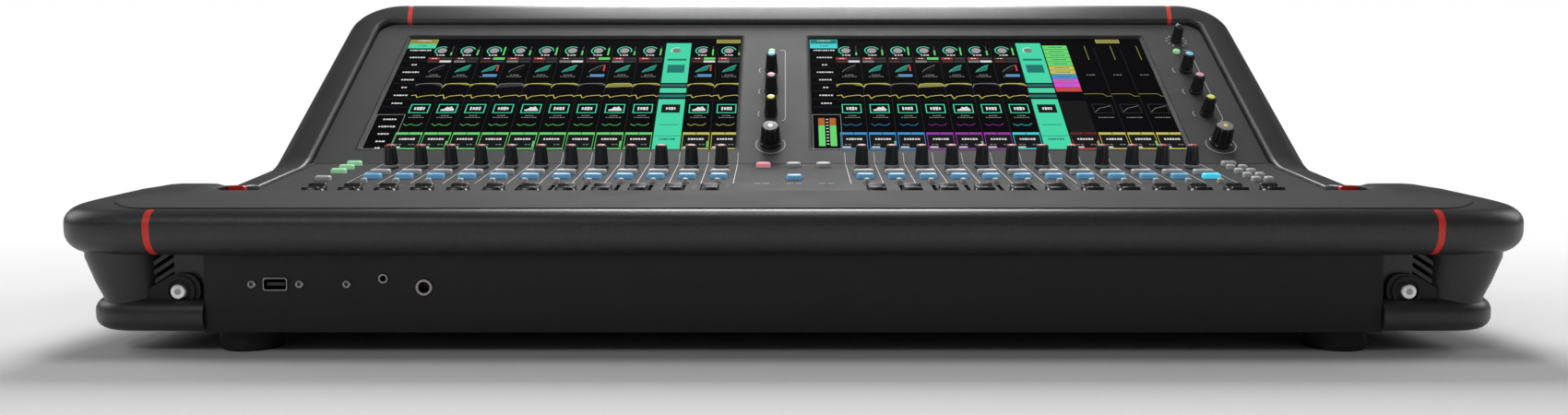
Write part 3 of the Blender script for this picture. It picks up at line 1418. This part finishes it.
class DESK_OT_sockets(bpy.types.Operator):
    """Makes the front sockets, the rear sockets and the ports"""

    bl_idname = "desk.sockets"
    bl_label = "Sockets"

    def execute(self, context):
        self.front()
        self.audio()
        self.ports()
        return {"FINISHED"}

    def front(self):
        """Screws, the data port and two headphone sockets."""
        face_y = sizes().front_y + FACE_BACK
        usb = -PANEL_HALF + 0.044
        level = sizes().foot_h + SOCKET_RISE
        screw = [(0.0027, -0.001), (0.0027, 0.0006), (0.0022, 0.0011), (0.0013, 0.0012), (0.0012, 0.0002)]
        bm = bmesh.new()
        for x in (usb - 0.0147, usb + 0.0147, usb + 0.0438):
            place = at(x, face_y, level, TO_FRONT)
            turned(bm, place, screw, 24, 0)
            turned(bm, place, [(0.0012, 0.0001), (0.0012, 0.0003)], 6, 1)
        place = at(usb, face_y, level, TO_FRONT)
        rim = (
            (0.0152, 0.0082, -0.001), (0.0152, 0.0082, 0.0008), (0.0148, 0.0078, 0.0012),
            (0.0138, 0.0068, 0.0012), (0.0136, 0.0066, 0.0006),
        )
        sweep(bm, [raised(place, box_outline(w, l, 0.0012), h) for w, l, h in rim], caps=False)
        hole = box_outline(0.0136, 0.0066, 0.0012)
        tint_faces(sweep(bm, [raised(place, hole, h) for h in (0.0006, -0.010)], caps=False), 1)
        plate(bm, place, 0.0110, 0.0020, -0.009, -0.0004, 0.0002, 1)
        for along, lift, r, bore in ((0.0665, 0.0035, 0.0031, 0.0018), (0.0915, -0.002, 0.0054, 0.00325)):
            place = at(usb + along, face_y, level + lift, TO_FRONT)
            profile = [(r, -0.012), (r, 0.0006), (r * 0.92, 0.0012)]
            profile += [(bore * 1.12, 0.0012), (bore, 0.0006), (bore, -0.012)]
            turned(bm, place, profile, 32, 0)
            turned(bm, place, [(bore * 0.98, -0.0100), (bore * 0.98, -0.0095)], 24, 1)
        piece("front_socket_set", bm, ["socket", "socket_black"], replaces=["front_sockets"])

    def audio(self):
        """The rear audio sockets, with latch tab and contacts."""
        columns, rows, step = 12, 2, 0.031
        shell = [
            (0.0105, -0.020), (0.0105, -0.0006), (0.0101, -0.0001), (0.0086, -0.0001),
            (0.0082, -0.0008), (0.0082, -0.0045),
        ]
        contact = [(0.0013, -0.0008), (0.0013, -0.0001), (0.0008, 0.0), (0.0007, -0.0006)]
        bm = bmesh.new()
        for i in range(columns):
            for k in range(rows):
                height = sizes().foot_h + 0.072 + 0.038 * k
                place = at((i - (columns - 1) / 2) * step, sizes().rear_y, height, TO_BACK)
                turned(bm, place, shell, 32, 0)
                turned(bm, place, [(0.0066, -0.006), (0.0066, -0.0007), (0.0062, -0.0003)], 28, 0)
                plate(bm, shifted(place, 0, -0.0078), 0.006, 0.0030, -0.004, -0.0002, 0.0005, 1)
                for a in (math.radians(90), math.radians(210), math.radians(330)):
                    spot = shifted(place, 0.0036 * math.cos(a), 0.0036 * math.sin(a))
                    turned(bm, spot, contact, 12, 2)
        names = ["socket_black", "steel", "gold"]
        piece("audio_socket_set", bm, names, replaces=["xlr_sockets"])

    def ports(self):
        """Network ports, clock sockets and the mains inlet."""
        z = sizes()
        wall = z.half_w - z.tube_w
        level = z.foot_h + SOCKET_RISE
        bm = bmesh.new()
        for x in (-wall + 0.040, -wall + 0.070, -wall + 0.100, -wall + 0.130):
            place = at(x, z.rear_y, level, TO_BACK)
            self.sleeve(bm, place, 0.018, 0.017, 0.012, 0.009, 0.016)
            for k in range(8):
                spot = shifted(place, -0.0042 + 0.0012 * k, 0.0032)
                plate(bm, spot, 0.0005, 0.0016, -0.012, -0.002, 0.0, 2)
        inlet = at(wall - 0.046, z.rear_y, level, TO_BACK)
        self.sleeve(bm, inlet, 0.028, 0.021, 0.024, 0.0165, 0.018)
        for x, rise in ((-0.007, 0.0015), (0.0, -0.0025), (0.007, 0.0015)):
            plate(bm, shifted(inlet, x, rise), 0.002, 0.005, -0.018, -0.003, 0.0, 1)
        barrel = [(0.005, -0.020), (0.005, -0.0003), (0.0046, 0.0), (0.0037, 0.0), (0.0036, -0.003)]
        for x in (-wall + 0.160, -wall + 0.184):
            place = at(x, z.rear_y, level, TO_BACK)
            turned(bm, place, barrel, 28, 1)
            turned(bm, place, [(0.0007, -0.003), (0.0007, -0.0006)], 10, 2)
        piece("rear_port_set", bm, ["socket_black", "steel", "gold"], replaces=["rear_ports"])

    def sleeve(self, bm, place, w, l, hole_w, hole_l, depth):
        """A square port with its opening."""
        rows = (
            (w, l, -depth - 0.002), (w, l, -0.0005), (w - 0.001, l - 0.001, 0.0),
            (hole_w, hole_l, 0.0), (hole_w, hole_l, -depth),
        )
        sweep(bm, [raised(place, box_outline(a, b, 0.001), h) for a, b, h in rows])


class DESK_OT_fasteners(bpy.types.Operator):
    """Makes the frame bolts and the feet"""

    bl_idname = "desk.fasteners"
    bl_label = "Bolts and feet"

    def execute(self, context):
        z = sizes()
        bolt_x, bolt_z = bolt_place()
        bm = bmesh.new()
        place = at(bolt_x, z.front_y + 0.0215, bolt_z, TO_FRONT)
        bolt = [(0.003, -0.030), (0.003, -0.002), (0.0049, -0.002), (0.0049, 0.0058)]
        turned(bm, place, bolt + [(0.0043, 0.0066), (0.0028, 0.0068)], 36)
        turned(bm, place, [(0.0022, 0.0064), (0.0022, 0.00695)], 6, 1)
        mirrored(bm)
        piece("bolt_pair", bm, ["bolt", "socket"], replaces=["frame_bolts"])
        bm = bmesh.new()
        low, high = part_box("feet")
        inset = 0.0195
        for x in (low.x + inset, high.x - inset):
            for y in (low.y + inset, high.y - inset):
                place = Matrix.Translation((x, y, 0))
                profile = [(0.0060, 0.003), (0.0165, 0.0), (0.0178, 0.0004), (0.0190, 0.0030)]
                profile += [(0.0194, 0.006), (0.0194, 0.012), (0.0185, 0.0140)]
                turned(bm, place, profile, 40)
        piece("foot_set", bm, ["rubber"], replaces=["feet"])
        return {"FINISHED"}


# Stage


class DESK_OT_stage(bpy.types.Operator):
    """Sets up the floor, the lights and the camera"""

    bl_idname = "desk.stage"
    bl_label = "Stage"

    def execute(self, context):
        scene = context.scene
        bm = bmesh.new()
        bmesh.ops.create_grid(bm, x_segments=1, y_segments=1, size=9.0)
        mesh = bpy.data.meshes.new("floor")
        bm.to_mesh(mesh)
        bm.free()
        floor = bpy.data.objects.new("floor", mesh)
        scene.collection.objects.link(floor)
        mesh.materials.append(self.pale())
        scene.world = self.studio()
        for name, place, aim, size, power in (
            ("back", (0.0, 1.75, 1.75), (0, 0, 0), 1.5, 66.0),
            ("top", (0.0, -0.05, 2.4), (0, 0, 0), 0.7, 12.0),
            ("front", (-0.9, -1.7, 1.3), (0, 0, 0.1), 0.5, 5.0),
            ("left_rim", (-1.9, 0.2, 0.9), (-0.3, 0, 0.1), 0.9, 7.0),
            ("right_rim", (1.9, 0.2, 0.9), (0.3, 0, 0.1), 0.9, 7.0),
        ):
            lamp = bpy.data.lights.new(name, "AREA")
            lamp.size, lamp.energy = size, power
            obj = bpy.data.objects.new(name, lamp)
            obj.location = place
            obj.rotation_euler = (Vector(aim) - Vector(place)).to_track_quat("-Z", "Y").to_euler()
            scene.collection.objects.link(obj)
        camera = bpy.data.cameras.new("camera")
        camera.lens, camera.sensor_width, camera.shift_y = 26.72, 36.0, -0.00135
        obj = bpy.data.objects.new("camera", camera)
        obj.location = (-0.0059, -1.0116, 0.1431)
        obj.rotation_euler = (math.radians(90 - 4.06), 0, 0)
        scene.collection.objects.link(obj)
        scene.camera = obj
        scene.view_settings.view_transform = "Standard"
        return {"FINISHED"}

    def pale(self):
        """A pale floor that turns into the backdrop's white away from the desk."""
        floor = Finish("floor_pale")
        cloud = floor.noise(0.6, 1.0)
        floor.set(Base_Color=floor.blend(cloud, (0.78, 0.78, 0.78, 1), (0.80, 0.80, 0.80, 1)), Roughness=0.9)
        away = floor.add("ShaderNodeVectorMath", {"operation": "LENGTH"}, floor.place)["Value"]
        eased = {"interpolation_type": "SMOOTHSTEP"}
        ramp = floor.add("ShaderNodeMapRange", eased, away, 0.62, 1.15, 0.0, 1.0)
        white = floor.add("ShaderNodeEmission", {}, (1, 1, 1, 1), 1.0)
        mix = floor.add("ShaderNodeMixShader", {}, ramp[0])
        floor.tree.links.new(floor.shader.outputs[0], mix.node.inputs[1])
        floor.tree.links.new(white.node.outputs[0], mix.node.inputs[2])
        end = floor.tree.nodes["Material Output"]
        floor.tree.links.new(mix.node.outputs[0], end.inputs["Surface"])
        return floor.material

    def studio(self):
        """A white backdrop that lights the desk only softly."""
        world = bpy.data.worlds.new("studio")
        world.use_nodes = True
        tree = world.node_tree
        light = tree.nodes["Background"]
        light.inputs["Strength"].default_value = 0.11
        backdrop = tree.nodes.new("ShaderNodeBackground")
        backdrop.inputs["Strength"].default_value = 1.0
        for shade in (light, backdrop):
            shade.inputs["Color"].default_value = (1, 1, 1, 1)
        path = tree.nodes.new("ShaderNodeLightPath")
        mix = tree.nodes.new("ShaderNodeMixShader")
        tree.links.new(path.outputs["Is Camera Ray"], mix.inputs[0])
        tree.links.new(light.outputs[0], mix.inputs[1])
        tree.links.new(backdrop.outputs[0], mix.inputs[2])
        tree.links.new(mix.outputs[0], tree.nodes["World Output"].inputs["Surface"])
        return world


class DESK_PT_panel(bpy.types.Panel):
    """Lists the console's sizes, colours and steps"""

    bl_label = "Mixing console"
    bl_idname = "DESK_PT_panel"
    bl_space_type = "VIEW_3D"
    bl_region_type = "UI"
    bl_category = "Console"

    def draw(self, context):
        for group in (context.scene.desk_sizes, context.scene.desk_colours):
            box = self.layout.box()
            for name in group.__annotations__:
                box.prop(group, name)
        for step in STEPS:
            self.layout.operator(step.bl_idname)


STEPS = (
    DESK_OT_stage, DESK_OT_rails, DESK_OT_side_frames, DESK_OT_bands, DESK_OT_armrest, DESK_OT_panels,
    DESK_OT_print, DESK_OT_screens, DESK_OT_knobs, DESK_OT_keys, DESK_OT_faders, DESK_OT_sockets,
    DESK_OT_fasteners,
)
CLASSES = (DeskSizes, DeskColours, *STEPS, DESK_PT_panel)


def register():
    """Makes the classes and settings known to Blender."""
    for cls in CLASSES:
        bpy.utils.register_class(cls)
    bpy.types.Scene.desk_sizes = PointerProperty(type=DeskSizes)
    bpy.types.Scene.desk_colours = PointerProperty(type=DeskColours)


def unregister():
    """Takes them out again."""
    del bpy.types.Scene.desk_colours
    del bpy.types.Scene.desk_sizes
    for cls in reversed(CLASSES):
        bpy.utils.unregister_class(cls)


def main():
    """Builds the whole console and notes its size."""
    register()
    for step in STEPS:
        group, name = step.bl_idname.split(".")
        getattr(getattr(bpy.ops, group), name)()


if __name__ == "__main__":
    main()
